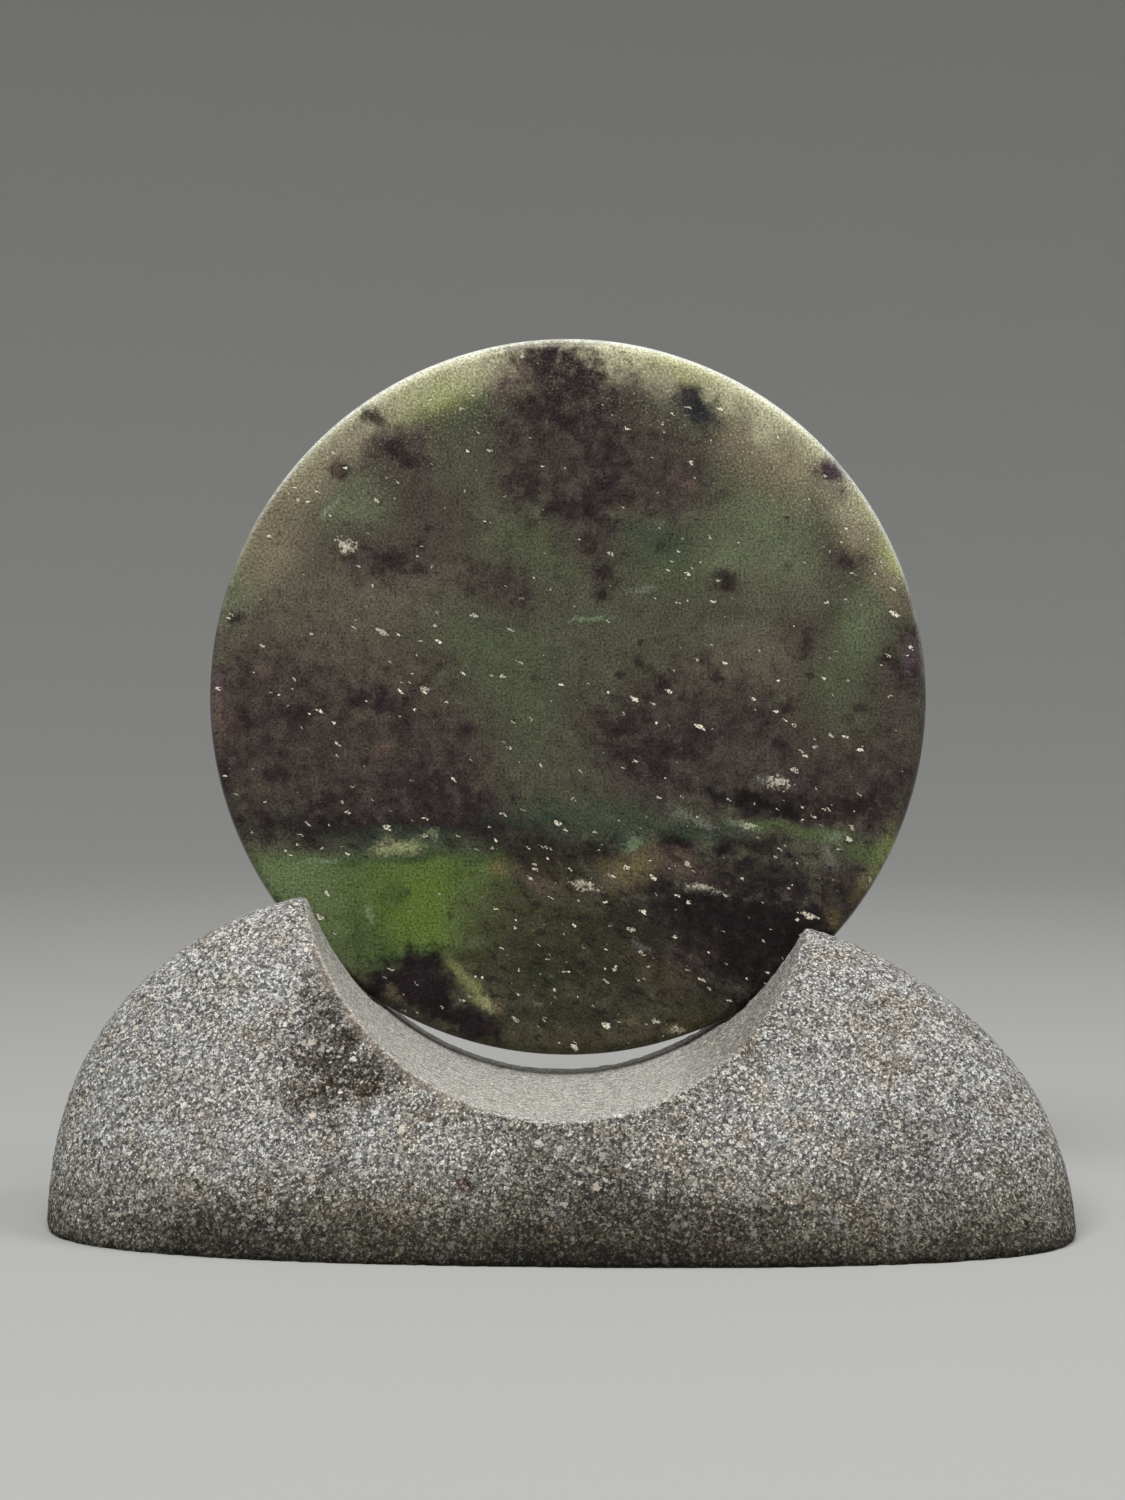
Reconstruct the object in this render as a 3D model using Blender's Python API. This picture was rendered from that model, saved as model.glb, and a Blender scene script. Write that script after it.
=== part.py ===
"""Polished greenstone disc standing in a slotted half-moon stand of grey granular stone.

Metres, +Z up. The front faces -Y. The origin is on the table, under the middle of the stand.
The stand is a block with a flat underside, a domed front and a nearly flat back. A round scoop
cut from front to back leaves two horns, and a narrow curved slot in the scoop's wall holds the
disc's rim. The disc rests on the two lower ends of the slot and hangs clear of the scoop's floor.
"""
import math

import bmesh
import bpy

# The disc.
DISC_DIAMETER = 0.150
DISC_THICKNESS = 0.0064
DISC_RIM_ROUND = 0.0024
DISC_ABOVE_FLOOR = 0.0041
DISC_SIDEWAYS = 0.0021

# The stand's outline, seen from the front. Its two shoulders differ, as on a hand-shaped block.
STAND_WIDTH = 0.2033
CROWN_HEIGHT = 0.0682
LEFT_SHOULDER = (2.80, 2.45)
RIGHT_SHOULDER = (1.50, 2.55)

# The stand from front to back. The ridge is the line where front and back meet.
STAND_DEPTH = 0.0667
RIDGE_AHEAD_OF_BACK = 0.0311
RIDGE_LEAN = 0.303
RIDGE_SKEW = 0.036
RIDGE_TWIST = 1.40
FRONT_PLAN = (2.27, 3.58)
FRONT_PROFILE = (1.49, 1.20)
BACK_PLAN = (3.0, 6.0)
BASE_ROUND = 0.0012

# The scoop and the slot.
SCOOP_FLOOR = 0.0246
SCOOP_STEP = 0.0196
SCOOP_SIDEWAYS = 0.0008
SLOT_SIDE_CLEARANCE = 0.0004
SLOT_END_CLEARANCE = 0.0003
SLOT_EXTRA_RADIUS = 0.0072
BACK_WALL = 0.0038

# How finely the round forms are divided.
DISC_SEGMENTS = 96
RIM_STEPS = 5
FRONT_STEPS = 44
BACK_STEPS = 24
LEVELS = 24
BASE_STEPS = 3
CROWN_MARGIN = 0.0010
LEVEL_CROWDING = 1.5
CUTTER_SEGMENTS = 144
CUTTER_OVERSHOOT = 0.010
SHARP_ANGLE = math.radians(35)

disc_radius = DISC_DIAMETER / 2
slot_width = DISC_THICKNESS + 2 * SLOT_SIDE_CLEARANCE
back_y = STAND_DEPTH / 2
slot_y = back_y - BACK_WALL - slot_width / 2
scoop_radius = disc_radius - SCOOP_STEP
scoop_centre = (SCOOP_SIDEWAYS, SCOOP_FLOOR + scoop_radius)
disc_centre = (DISC_SIDEWAYS, SCOOP_FLOOR + DISC_ABOVE_FLOOR + disc_radius)


def clear_scene():
    for thing in list(bpy.data.objects):
        bpy.data.objects.remove(thing, do_unlink=True)


def stone(name, colour, roughness):
    """A plain stone finish."""
    material = bpy.data.materials.new(name)
    material.use_nodes = True
    shader = material.node_tree.nodes["Principled BSDF"]
    shader.inputs["Base Color"].default_value = (*colour, 1.0)
    shader.inputs["Roughness"].default_value = roughness
    shader.inputs["Metallic"].default_value = 0.0
    return material


def add_object(name, shape, material=None):
    """Turn a bmesh into a smooth-shaded object."""
    bmesh.ops.recalc_face_normals(shape, faces=shape.faces)
    mesh = bpy.data.meshes.new(name)
    shape.to_mesh(mesh)
    shape.free()
    mesh.shade_smooth()
    mesh.set_sharp_from_angle(angle=SHARP_ANGLE)
    thing = bpy.data.objects.new(name, mesh)
    bpy.context.collection.objects.link(thing)
    if material:
        mesh.materials.append(material)
    return thing


def join_loops(shape, loops):
    """Skin a stack of closed loops with equally many points, and cap both ends."""
    rows = [[shape.verts.new(point) for point in loop] for loop in loops]
    count = len(rows[0])
    for lower, upper in zip(rows, rows[1:]):
        for i in range(count):
            j = (i + 1) % count
            shape.faces.new((lower[i], lower[j], upper[j], upper[i]))
    shape.faces.new(tuple(reversed(rows[0])))
    shape.faces.new(tuple(rows[-1]))


def round_loop(radius, y, centre, segments):
    """A circle that faces front, as points; centre is its x and z."""
    points = []
    for i in range(segments):
        angle = 2 * math.pi * i / segments
        points.append((centre[0] + radius * math.cos(angle), y, centre[1] + radius * math.sin(angle)))
    return points


def cutter(name, radius, centre, y, length):
    """A cylinder that lies from front to back and only cuts."""
    shape = bmesh.new()
    ends = (y - length / 2, y + length / 2)
    join_loops(shape, [round_loop(radius, end, centre, CUTTER_SEGMENTS) for end in ends])
    thing = add_object(name, shape)
    thing.hide_render = True
    thing.display_type = "WIRE"
    return thing


def circle_crossings(centre_a, radius_a, centre_b, radius_b):
    """The two points where two circles cross, each as x and z."""
    dx = centre_b[0] - centre_a[0]
    dz = centre_b[1] - centre_a[1]
    apart = math.hypot(dx, dz)
    along = (radius_a ** 2 - radius_b ** 2 + apart ** 2) / (2 * apart)
    across = math.sqrt(radius_a ** 2 - along ** 2)
    foot = (centre_a[0] + along * dx / apart, centre_a[1] + along * dz / apart)
    return [(foot[0] - side * across * dz / apart, foot[1] + side * across * dx / apart) for side in (-1, 1)]


def pushed_out(point, centre, distance):
    """The point moved away from a centre."""
    dx = point[0] - centre[0]
    dz = point[1] - centre[1]
    length = math.hypot(dx, dz)
    return (point[0] + distance * dx / length, point[1] + distance * dz / length)


def slot_circle():
    """Centre and radius of the slot's floor, so that the disc rests on both ends of the slot.

    The slot ends where the disc's rim leaves the scoop's wall. The slot's circle is larger than
    the disc and passes just outside the rim at those two points, and so clears it higher up.
    """
    rests = circle_crossings(disc_centre, disc_radius, scoop_centre, scoop_radius)
    first, second = [pushed_out(point, disc_centre, SLOT_END_CLEARANCE) for point in rests]
    radius = disc_radius + SLOT_EXTRA_RADIUS
    half_x = (second[0] - first[0]) / 2
    half_z = (second[1] - first[1]) / 2
    half = math.hypot(half_x, half_z)
    rise = math.sqrt(radius ** 2 - half ** 2)
    upward = 1 if half_x > 0 else -1
    x = first[0] + half_x - upward * rise * half_z / half
    z = first[1] + half_z + upward * rise * half_x / half
    return (x, z), radius


def outline_reach(height, shoulder):
    """How far the outline reaches sideways at a height."""
    across, upward = shoulder
    return STAND_WIDTH / 2 * (1 - (height / CROWN_HEIGHT) ** upward) ** (1 / across)


def front_depth(height):
    """How far the front bulges ahead of the ridge, in the middle."""
    upward, forward = FRONT_PROFILE
    full = STAND_DEPTH - RIDGE_AHEAD_OF_BACK
    return full * (1 - (height / CROWN_HEIGHT) ** upward) ** (1 / forward)


def ridge_y(x, height):
    """The ridge leans back as it rises, and it is skewed and twisted a little."""
    foot = back_y - RIDGE_AHEAD_OF_BACK
    return foot + RIDGE_LEAN * height - (RIDGE_SKEW - RIDGE_TWIST * height) * x


def stand_section(height, inset):
    """A level section of the stand as a closed loop, drawn in by inset where the base is rounded."""
    reach = {-1: outline_reach(height, LEFT_SHOULDER) - inset, 1: outline_reach(height, RIGHT_SHOULDER) - inset}
    points = []
    for steps, plan, facing in ((FRONT_STEPS, FRONT_PLAN, -1), (BACK_STEPS, BACK_PLAN, 1)):
        sideways, forward = plan
        for i in range(steps):
            turn = -math.pi / 2 + math.pi * i / steps
            side = -1 if turn < 0 else 1
            across = side * abs(math.sin(turn)) ** (2 / sideways)
            swell = abs(math.cos(turn)) ** (2 / forward) if i else 0.0
            x = -facing * across * reach[-facing * side]
            ridge = ridge_y(x, height)
            depth = front_depth(height) if facing < 0 else back_y - ridge
            points.append((x, ridge + facing * swell * (depth - inset), height))
    return points


def stand_levels():
    """Heights and insets of the sections, from the rounded base up to the crown."""
    levels = []
    for i in range(BASE_STEPS):
        turn = math.pi / 2 * i / BASE_STEPS
        levels.append((BASE_ROUND * (1 - math.cos(turn)), BASE_ROUND * (1 - math.sin(turn))))
    top = CROWN_HEIGHT - CROWN_MARGIN
    for i in range(LEVELS + 1):
        rise = 1 - (1 - i / LEVELS) ** LEVEL_CROWDING
        levels.append((BASE_ROUND + (top - BASE_ROUND) * rise, 0.0))
    return levels


def make_disc():
    """Flat faces with a rounded rim, turned about an axis that runs from front to back."""
    shape = bmesh.new()
    half = DISC_THICKNESS / 2
    profile = []
    for i in range(RIM_STEPS + 1):
        turn = math.pi / 2 * i / RIM_STEPS
        radius = disc_radius - DISC_RIM_ROUND * (1 - math.sin(turn))
        profile.append((radius, half - DISC_RIM_ROUND * (1 - math.cos(turn))))
    loops = [round_loop(radius, slot_y - y, disc_centre, DISC_SEGMENTS) for radius, y in profile]
    loops += [round_loop(radius, slot_y + y, disc_centre, DISC_SEGMENTS) for radius, y in reversed(profile)]
    join_loops(shape, loops)
    return add_object("disc", shape, stone("polished greenstone", (0.13, 0.15, 0.09), 0.22))


def make_stand():
    """The block, less the scoop and the slot."""
    shape = bmesh.new()
    join_loops(shape, [stand_section(height, inset) for height, inset in stand_levels()])
    stand = add_object("stand", shape, stone("grey granular stone", (0.50, 0.49, 0.46), 0.85))
    scoop_length = STAND_DEPTH + 2 * CUTTER_OVERSHOOT
    slot_centre, slot_radius = slot_circle()
    cutters = (
        cutter("scoop cutter", scoop_radius, scoop_centre, 0.0, scoop_length),
        cutter("slot cutter", slot_radius, slot_centre, slot_y, slot_width),
    )
    for tool in cutters:
        cut = stand.modifiers.new(tool.name, "BOOLEAN")
        cut.operation = "DIFFERENCE"
        cut.solver = "EXACT"
        cut.object = tool
    return stand


clear_scene()
make_disc()
make_stand()
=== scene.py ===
"""Looks of the greenstone disc in its grey stone stand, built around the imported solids.

Metres, +Z up, front facing -Y. The finishes work in millimetres: the disc's from its own centre,
the stand's from the object's origin.
"""
import math

import bmesh
import bpy
import numpy as np
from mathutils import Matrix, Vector, noise


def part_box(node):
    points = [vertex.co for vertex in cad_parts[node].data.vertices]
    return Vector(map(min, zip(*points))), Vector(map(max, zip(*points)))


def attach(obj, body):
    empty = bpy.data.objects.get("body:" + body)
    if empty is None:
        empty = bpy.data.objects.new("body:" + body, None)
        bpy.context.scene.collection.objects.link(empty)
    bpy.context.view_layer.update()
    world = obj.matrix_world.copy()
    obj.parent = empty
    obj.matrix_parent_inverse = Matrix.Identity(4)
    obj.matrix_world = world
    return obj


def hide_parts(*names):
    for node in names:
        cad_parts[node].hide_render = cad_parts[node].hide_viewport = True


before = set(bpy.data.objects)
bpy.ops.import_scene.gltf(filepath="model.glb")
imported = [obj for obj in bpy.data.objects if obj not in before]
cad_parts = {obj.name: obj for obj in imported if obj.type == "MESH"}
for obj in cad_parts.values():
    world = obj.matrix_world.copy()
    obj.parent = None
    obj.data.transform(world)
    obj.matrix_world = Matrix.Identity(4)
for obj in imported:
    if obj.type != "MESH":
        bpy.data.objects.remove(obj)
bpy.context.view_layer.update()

MM = 0.001

# Without a seed, noise vectors differ from one Blender session to the next.
NOISE_SEED = 7
noise.seed_set(NOISE_SEED)

# The camera, and its lens for a 36 mm sensor along the image's height.
CAMERA_PLACE = (0.96 * MM, -427.06 * MM, 112.88 * MM)
CAMERA_DIP = math.radians(2.5)
CAMERA_LENS = 51.9

# The scoop between the horns, in millimetres, as a cylinder that lies from front to back.
SCOOP_RADIUS = 55.4
SCOOP_CENTRE = (0.8, 80.0)

# How finely the two pieces are meshed.
FACE_RINGS = 108
RIM_STEPS = 8
RIM_ROUND = 2.5 * MM
RIM_SWELL = 0.25 * MM
STONE_VOXEL = 0.72 * MM

# How far hand work and wear stray from the true form, always inward.
DISC_WAVE = 0.10 * MM
DISC_WAVE_LENGTH = 18 * MM
HORN_ROUNDING_REACH = 8.0 * MM
TIP_SMOOTHING = 30
EDGE_SMOOTHING = 2

# The stand's hewn surface, in millimetres: how far apart its waves, grit, pits and chips lie, and how deep
# they go. Pits are where the noise rises above PIT_LEVEL, and chips lie along the sharp edges. The scoop,
# up to SCOOP_MARGIN past its radius, is smoother.
WAVE_SIZE = 14
WAVE_DEPTH = 0.22
GRIT_SIZE = 1.9
GRIT_DEPTH = 0.20
PIT_SIZE = 2.6
PIT_DEPTH = 0.9
PIT_LEVEL = 0.42
CHIP_SIZE = 2.2
CHIP_DEPTH = 1.3
SCOOP_WAVE_DEPTH = 0.12
SCOOP_GRIT_DEPTH = 0.06
SCOOP_MARGIN = 0.6

# The studio, in metres and watts: each lamp's name, place, target, size and power.
WORLD_STRENGTH = 0.64
LAMPS = (
    ("overhead", (-0.15, -0.38, 0.88), (0.0, 0.0, 0.06), (0.8, 0.30), 8.6),
    ("rim", (0.45, 0.0, 0.70), (0.0, 0.026, 0.12), (0.3, 0.2), 2.0),
)
FLOOR_COLOUR = (0.37, 0.37, 0.36, 1.0)
FLOOR_ROUGHNESS = 0.9
FLOOR_RADII = (0.3, 0.7)
FLOOR_BEND = 1.1
WALL_HEIGHT = 1.0
BEND_STEPS = 24
FLOOR_SIDES = 96


def tone(red, green, blue, gain=1.0):
    """A linear colour from the 0 to 255 values that a screen shows."""
    values = []
    for level in (red, green, blue):
        share = level / 255
        linear = share / 12.92 if share <= 0.04045 else ((share + 0.055) / 1.055) ** 2.4
        values.append(min(1.0, linear * gain))
    return (*values, 1.0)


class Finish:
    """A material's node tree. A value may be a number, a colour or another node's socket."""

    def __init__(self, name, dimensions="3D"):
        self.dimensions = dimensions
        self.material = bpy.data.materials.new(name)
        self.material.use_nodes = True
        self.tree = self.material.node_tree
        self.shader = self.tree.nodes["Principled BSDF"]
        self.metres = self.add("TexCoord").outputs["Object"]

    def feed(self, socket, value):
        if isinstance(value, bpy.types.NodeSocket):
            self.tree.links.new(value, socket)
        else:
            socket.default_value = value

    def add(self, kind, values=None, **settings):
        node = self.tree.nodes.new("ShaderNode" + kind)
        for setting, value in settings.items():
            setattr(node, setting, value)
        for socket, value in (values or {}).items():
            self.feed(node.inputs[socket], value)
        return node

    def math(self, operation, a, b=0.0, c=0.0, clamp=False):
        return self.add("Math", {0: a, 1: b, 2: c}, operation=operation, use_clamp=clamp).outputs[0]

    def times(self, a, b, clamp=False):
        return self.math("MULTIPLY", a, b, clamp=clamp)

    def times_plus(self, a, factor, more, clamp=False):
        return self.math("MULTIPLY_ADD", a, factor, more, clamp)

    def vector(self, operation, a, b=(0.0, 0.0, 0.0)):
        return self.add("VectorMath", {0: a, 1: b}, operation=operation).outputs[0]

    def length(self, a):
        return self.add("VectorMath", {0: a}, operation="LENGTH").outputs["Value"]

    def scaled(self, a, factor):
        return self.add("VectorMath", {0: a, "Scale": factor}, operation="SCALE").outputs[0]

    def parts(self, a):
        return self.add("SeparateXYZ", {0: a}).outputs

    def join(self, x, y=0.0, z=0.0):
        return self.add("CombineXYZ", {0: x, 1: y, 2: z}).outputs[0]

    def channels(self, colour):
        """The three numbers in a colour."""
        return self.add("SeparateColor", {0: colour}).outputs

    def grey(self, level):
        return self.add("CombineColor", {0: level, 1: level, 2: level}).outputs[0]

    def ramp(self, value, low, high, bottom=0.0, top=1.0):
        """A smooth step from bottom at low to top at high; low may be the larger."""
        values = {"Value": value, "From Min": low, "From Max": high, "To Min": bottom, "To Max": top}
        return self.add("MapRange", values, interpolation_type="SMOOTHSTEP").outputs["Result"]

    def mix(self, share, a, b, blend="MIX"):
        return self.add("Mix", {0: share, 6: a, 7: b}, data_type="RGBA", blend_type=blend).outputs[2]

    def cloud(self, place, size, detail=2.0, rough=0.5, offset=(0.0, 0.0, 0.0), colour=False):
        """Noise whose features are about size millimetres across; self.dimensions is 2D on a flat face."""
        moved = self.vector("ADD", place, offset)
        values = {"Vector": moved, "Scale": 1.0 / size, "Detail": detail, "Roughness": rough}
        return self.add("TexNoise", values, noise_dimensions=self.dimensions).outputs[1 if colour else 0]

    def centred_cloud(self, place, size, **settings):
        """The same noise, from about -0.5 to 0.5."""
        return self.math("SUBTRACT", self.cloud(place, size, **settings), 0.5)

    def warped(self, place, size, amount, detail, offset=(0.0, 0.0, 0.0)):
        """The place pushed about by noise, by up to about amount millimetres."""
        push = self.join(*self.channels(self.cloud(place, size, detail=detail, offset=offset, colour=True)))
        centred = self.vector("SUBTRACT", push, (0.5, 0.5, 0.5))
        return self.vector("ADD", place, self.scaled(centred, 2.0 * amount))

    def cells(self, place, size, measure="EUCLIDEAN"):
        """Scattered cells about size millimetres apart: a distance and three random numbers each."""
        values = {"Vector": place, "Scale": 1.0 / size}
        return self.add("TexVoronoi", values, voronoi_dimensions=self.dimensions, distance=measure).outputs

    def attribute(self, name):
        """A number that the mesh keeps at each point."""
        return self.add("Attribute", attribute_name=name).outputs["Fac"]

    def bump(self, height, depth, strength):
        """depth is in millimetres."""
        values = {"Height": height, "Distance": depth * MM, "Strength": strength}
        return self.add("Bump", values).outputs[0]

    def set(self, **values):
        """Sockets of the shader, with underscores for the spaces in their names."""
        for name, value in values.items():
            self.feed(self.shader.inputs[name.replace("_", " ")], value)


# The greenstone's clouds, from the deepest layer to the top one. Each has a name, the tone that it shows
# in daylight, a strength, how soft and how ragged its edge is, and its patches: x and z of the middle from
# the disc's centre, half width, half height, and tilt in degrees.
CLOUDS = (
    ("olive grey", (99, 94, 79), 0.8, 0.85, 0.8, (
        (-50, 20, 17, 9, 0), (-52, 8, 16, 8, 0), (-35, 22, 16, 8, 10), (-62, 35, 12, 12, 0),
        (-62, 20, 11, 8, 0), (-69, 14, 6, 6, 0), (-55, 42, 12, 7, 45), (-30, 52, 9, 6, -20),
        (42, 9, 14, 6, 0), (42, 26, 12, 6, 0),
    )),
    ("green", (82, 85, 65), 0.75, 0.9, 0.9, (
        (-5, 27, 14, 15, 0), (-17, 14, 13, 8, 0), (-9, 0, 9, 13, 0), (19, 22, 13, 9, 0),
        (40, 37, 10, 11, 20), (62, 12, 9, 15, 0), (0, -15, 11, 8, 0), (8, 12, 9, 8, 0),
        (-22, 52, 8, 8, 0), (1, 51, 3, 4, 0),
    )),
    ("leaf green", (80, 91, 62), 0.5, 0.9, 1.0, (
        (-14, 9, 9, 7, -20), (22, 30, 12, 5, -15), (60, 12, 4, 9, 0), (54, 2, 3, 6, 0),
        (-9, -4, 5, 9, 15), (-6, 31, 9, 6, 0), (-18.5, 60.5, 6, 4, 10),
    )),
    ("milky green", (104, 111, 85), 0.75, 0.9, 0.9, (
        (41, 37, 8, 8, 25), (34, 30, 6, 4, 10), (46, 30, 6, 5, 30), (-45, 40, 7, 5, 20),
        (-68.5, 24, 4.0, 8, -18), (61, 16, 4, 6, 0),
    )),
    ("tan", (126, 117, 95), 0.9, 0.85, 0.9, (
        (38, 56, 9, 7, -38), (46, 50, 9, 8, -40), (17, 69, 10, 4, -12), (60, 36, 4, 9, 25),
        (66, 26, 3.5, 8, 20), (-52, 49, 13, 4.5, 43), (-62, 32, 8, 6, 60), (36, 62, 8, 4, -35),
        (-13, 67.5, 5, 4, 20),
    )),
    ("purple grey", (72, 64, 60), 0.75, 0.85, 1.2, (
        (-56, -4, 20, 17, 0), (-39, -19, 20, 10, 0), (-29, -12, 14, 12, 0), (27, -8, 21, 12, 0),
        (15, -18, 12, 9, 0), (2, 53, 15, 13, 0), (-3, 70, 8, 8, 0), (-34, 50, 8, 6, -30),
        (58, 29, 3.6, 2.8, -20), (49, 13, 4, 5, 0), (45, -15, 18, 10, 0), (19, 47, 9, 9, 0),
        (69, -2, 5, 12, 0), (-36, 29, 12, 5, -10), (-25, -27, 22, 5, 0), (35, -50, 30, 14, 0),
        (-8, -36, 14, 6, -10), (-14, 24, 9, 6, -25), (-30, 31, 6, 4, 0), (-25, 36, 5, 4, 0),
        (63, -18, 9, 10, 0), (-10, 53, 7, 10, 0), (5, 35, 7, 8, 0), (25, 43, 5, 4, -15),
        (-30, 41, 4, 6, -30),
    )),
    ("purple brown", (62, 53, 51), 0.72, 0.85, 1.7, (
        (-58, -5, 14, 11, 0), (-42, -17, 15, 8, 0), (-30, -13, 10, 8, 0), (22, -8, 13, 10, 0),
        (36, -3, 7, 5, 0), (4, 51, 11, 12, 0), (-3.5, 70, 9, 7, 0), (-34, 50.5, 5.5, 3.5, -30),
        (57.5, 29, 2.4, 1.6, -20), (5, 36, 4, 5, 0), (48, -17, 12, 6, 0), (19, 45, 8, 5, -10),
        (71, 8, 3, 5, 0), (-37, 28, 7, 3, -15), (-25, -24, 18, 5, 0), (35, -50, 26, 11, 0),
        (-8, -34, 10, 4, -10), (65, -17, 7, 9, 0), (-70, -12, 5, 16, 0), (-36, 0, 6, 4, 0),
        (-8, 57, 6, 6, 0), (-64, 4, 9, 5, 0), (-15, 23.5, 6, 3.5, -25), (-28, 7, 4, 2, 0),
        (7.5, 25.5, 3, 3, 0),
    )),
    ("dark purple", (43, 33, 36), 0.76, 0.85, 1.7, (
        (-4.5, 72.5, 7, 5, 0), (1.5, 66.5, 7.5, 4.6, 0), (-4, 61, 6, 4, 0), (7.5, 46, 3.4, 9, -10),
        (2, 41, 7, 3, 0), (-40.7, 58.5, 3, 1.5, -40), (-46.3, 47.8, 1.8, 1.8, 0),
        (-36.8, 52, 2.6, 1.7, -30), (-33, 48.8, 2.2, 1.7, -20), (-9, 44, 3, 4, 0),
        (-37.5, 28, 4.2, 2, -20), (-30.2, 31.6, 1.6, 1.6, 0), (-67, -4.6, 3, 2.6, 0),
        (-56, -3, 3, 2.4, 0), (-44, 1, 2.2, 2, 0), (-21.6, -7, 1.6, 1.6, 0), (-35, -5, 2.4, 2, 0),
        (-28, -19, 7, 5, 0), (-50, -20, 5, 2.4, 0), (-35, -26, 8, 3, 0), (11, -7, 4, 6, 0),
        (18, -12, 5, 6, 0), (49.8, 12.3, 1.6, 2.4, 0), (46, -1, 2.0, 1.6, 0), (62, -22, 6, 4, 0),
        (-40, -1, 4, 2.4, 0), (32.3, 24.3, 2.6, 2.2, 0), (7.6, 25, 2, 2.2, 0), (67.3, 8.7, 1.7, 1.7, 0),
        (-68.6, 17.1, 1.5, 1.5, 0), (14.8, 7.6, 1.5, 1.4, 0), (28.3, 7.6, 1.6, 1.3, 0),
        (32.3, 4, 1.3, 1.3, 0), (26, -9, 4, 3, 0), (0, 58, 4, 3, 0), (55, 45.7, 1.7, 1.7, 0),
        (58, -24, 3, 2, 0), (-60, -16, 3, 2, 0), (-20, -22, 4, 3, 0), (20, 3, 3, 2, 0),
        (61, -2, 1.4, 1.2, 0), (-72, -14, 2, 5, 0), (44, -9, 2, 1.6, 0),
    )),
    ("rim purple", (82, 67, 76), 0.92, 0.85, 1.0, (
        (54.6, 46.8, 2.9, 4.1, 30), (70.6, 22.3, 1.3, 2.6, 15), (72, 8.7, 1.6, 2.6, 0),
        (-72.5, 3, 1.6, 3, 0),
    )),
    ("dark below", (37, 31, 30), 0.9, 0.75, 1.7, (
        (28, -45, 20, 6, -8), (46, -49, 12, 9, 0), (14, -50, 8, 5, -15), (41, -21.4, 13, 2.9, -8),
        (46, -57, 12, 8, 30), (36, -54, 9, 6, 0), (40, -31, 5, 2, 0), (-6, -35, 8, 2.5, 0),
        (7, -32, 7, 3, 0), (22.3, -30.4, 3, 2.8, 0), (31.5, -31.2, 2.8, 2.2, 0), (38, -36, 14, 3, -5),
        (60, -43, 4, 4, 0), (58, -23, 4, 1.6, 0),
    )),
    ("black below", (21, 17, 18), 0.9, 0.8, 1.6, (
        (33, -45, 13, 4.6, -10), (46, -49, 9, 6, -10), (22.3, -30.4, 2.2, 1.9, 0),
        (41, -21.8, 9, 1.6, -10), (3, -47, 8, 2.4, -20), (31.5, -31.2, 1.8, 1.4, 0),
        (-6, -33, 6, 1.6, 0), (37, -55, 8, 4, -25),
    )),
    ("blue black", (42, 45, 47), 0.92, 0.7, 1.1, ((26.0, 60.4, 5.8, 2.8, -38),)),
    ("charcoal band", (33, 28, 29), 0.85, 0.75, 1.2, (
        (-52, -26.4, 16, 3.2, -3), (-20, -26.8, 16, 2.3, 3), (-5, -30, 11, 2.5, 0),
    )),
    ("mid green", (92, 107, 68), 0.95, 0.35, 0.45, (
        (-49, -39.2, 26, 6.8, 2), (-36, -46, 22, 11, 0), (-60, -40, 12, 6.6, -15), (-22, -37, 10, 5, 0),
    )),
    ("pale green", (105, 120, 82), 0.8, 0.95, 0.8, ((-60, -39, 10, 4.4, -12), (-54, -43, 7, 5, -30))),
    ("bright green", (84, 103, 46), 0.85, 0.95, 1.2, (
        (-32, -42, 12, 9, 0), (-26, -37, 9, 5, 0), (-34, -49, 10, 6, -20),
    )),
    ("vivid green", (100, 122, 46), 0.55, 0.98, 1.2, ((-31, -43.5, 6, 6.5, 0), (-30, -49, 6, 4, -15))),
    ("deep green", (58, 74, 42), 0.7, 0.9, 1.4, (
        (-43, -50, 4, 4, -30), (-37, -40.8, 1.8, 1.8, 0), (-18, -33.2, 5, 1.3, 0),
        (-34, -54.5, 8, 2.4, -8), (-30, -32.8, 9, 1.1, 3), (-43.5, -33.6, 6, 1.2, 4),
    )),
    ("olive fade", (68, 67, 44), 0.9, 0.98, 1.3, (
        (-6, -43, 11, 9, 0), (-6, -53, 11, 9, 0), (-14, -50, 6, 8, 20), (-20, -55, 4, 3, 0),
    )),
    ("blue green", (62, 76, 60), 0.75, 0.9, 1.4, (
        (8, -25, 12, 3.2, -2), (-3, -24, 10, 3, 0), (13, -28.5, 4, 2, 0), (-35, -29.4, 13, 2.4, 0),
        (19, 33, 6, 3, -20), (27, -28, 10, 1.6, -6), (13.5, -30, 2.6, 2.6, 0),
    )),
    ("right band", (84, 100, 60), 0.8, 0.9, 1.2, (
        (50, -28, 8, 1.3, -8), (62, -32, 5, 2.0, -14), (41, -26.8, 4, 1.0, 0),
    )),
    ("right rim", (140, 150, 88), 0.85, 0.95, 0.8, (
        (67.5, -32, 2.6, 3.6, -28), (65, -37, 1.4, 3.4, -30),
    )),
    ("dark olive", (48, 50, 36), 0.85, 0.85, 1.3, (
        (-2, -56, 12, 7, -10), (10, -59, 7, 5, -10), (28, -63.5, 6, 3, 20), (-15, -66, 8, 3.6, 14),
        (2, -66, 16, 2.6, 0), (12, -48, 6.5, 5, 0),
    )),
    ("olive bottom", (67, 62, 42), 0.85, 0.9, 1.2, (
        (6, -72, 20, 2.6, 0), (24, -67, 6, 2.6, 0), (-12, -71, 7, 2.4, 10), (18, -57, 10, 2.8, -34),
    )),
    ("blot", (23, 16, 20), 0.97, 0.55, 1.2, (
        (-33, -58.8, 8.6, 5.0, 5), (-39, -60, 4, 3, -30), (-27, -63, 5, 4.4, 0),
        (-30, -55.4, 5, 2.6, 0), (-21, -67, 6, 2.8, -25),
    )),
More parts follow.
